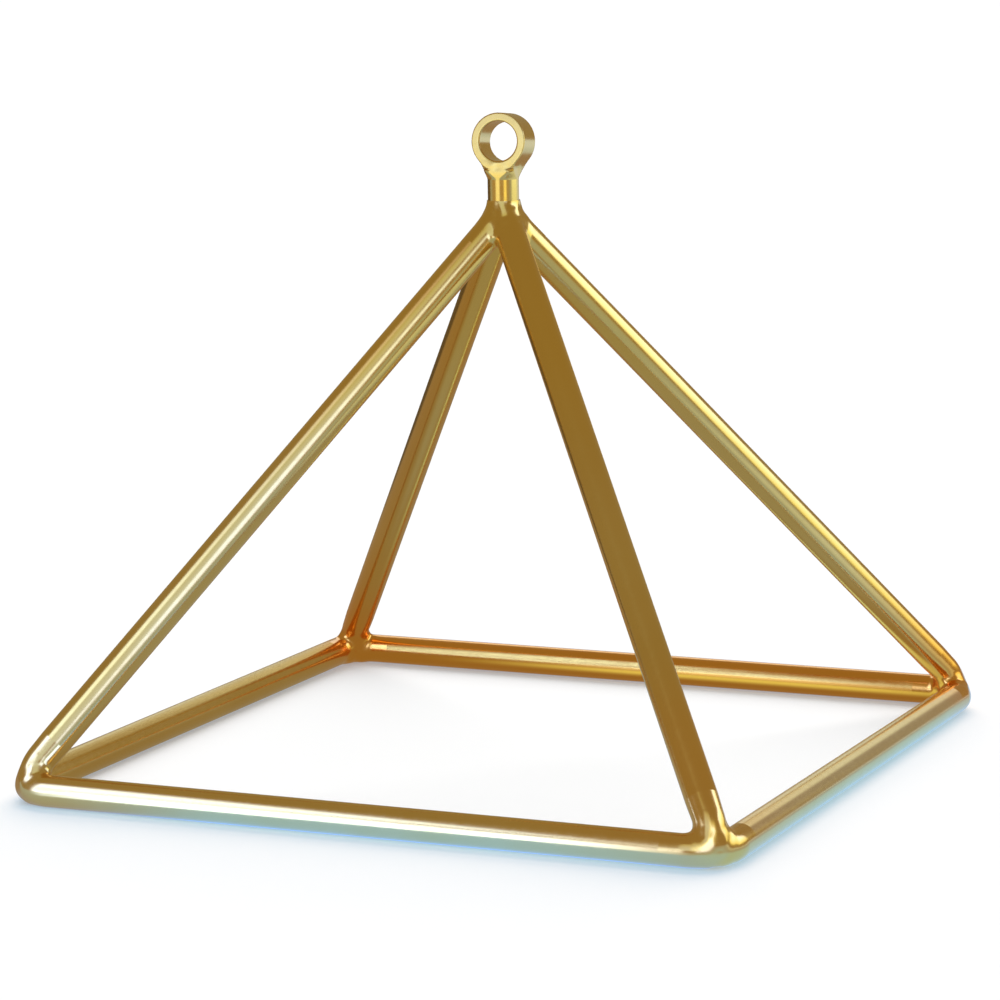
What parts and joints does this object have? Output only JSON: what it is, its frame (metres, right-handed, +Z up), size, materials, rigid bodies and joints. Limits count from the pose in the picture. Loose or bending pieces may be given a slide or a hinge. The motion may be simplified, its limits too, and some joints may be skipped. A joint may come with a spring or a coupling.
{
  "type": "crystal singing pyramid",
  "caption": "Square pyramid of mirror-gold fused quartz tube with a hanging ring on a short stem over the apex.",
  "frame": {"origin": "middle of the base, on the surface that the base tubes lie on", "axes": "+Z up through the apex, sides of the base along X and Y, front towards -Y"},
  "size_m": [0.254, 0.254, 0.2174],
  "materials": {
    "gold_coated_quartz": "opaque mirror gold coat over clear quartz"
  },
  "bodies": {
    "root": {"base_tube_front": "gold_coated_quartz", "base_tube_right": "gold_coated_quartz", "base_tube_back": "gold_coated_quartz", "base_tube_left": "gold_coated_quartz", "edge_tube_front_left": "gold_coated_quartz", "edge_tube_front_right": "gold_coated_quartz", "edge_tube_back_left": "gold_coated_quartz", "edge_tube_back_right": "gold_coated_quartz", "corner_joint_front_left": "gold_coated_quartz", "corner_joint_front_right": "gold_coated_quartz", "corner_joint_back_left": "gold_coated_quartz", "corner_joint_back_right": "gold_coated_quartz", "apex_joint": "gold_coated_quartz", "hanger_stem": "gold_coated_quartz", "ring_weld": "gold_coated_quartz", "hanger_ring": "gold_coated_quartz"}
  },
  "joints": []
}
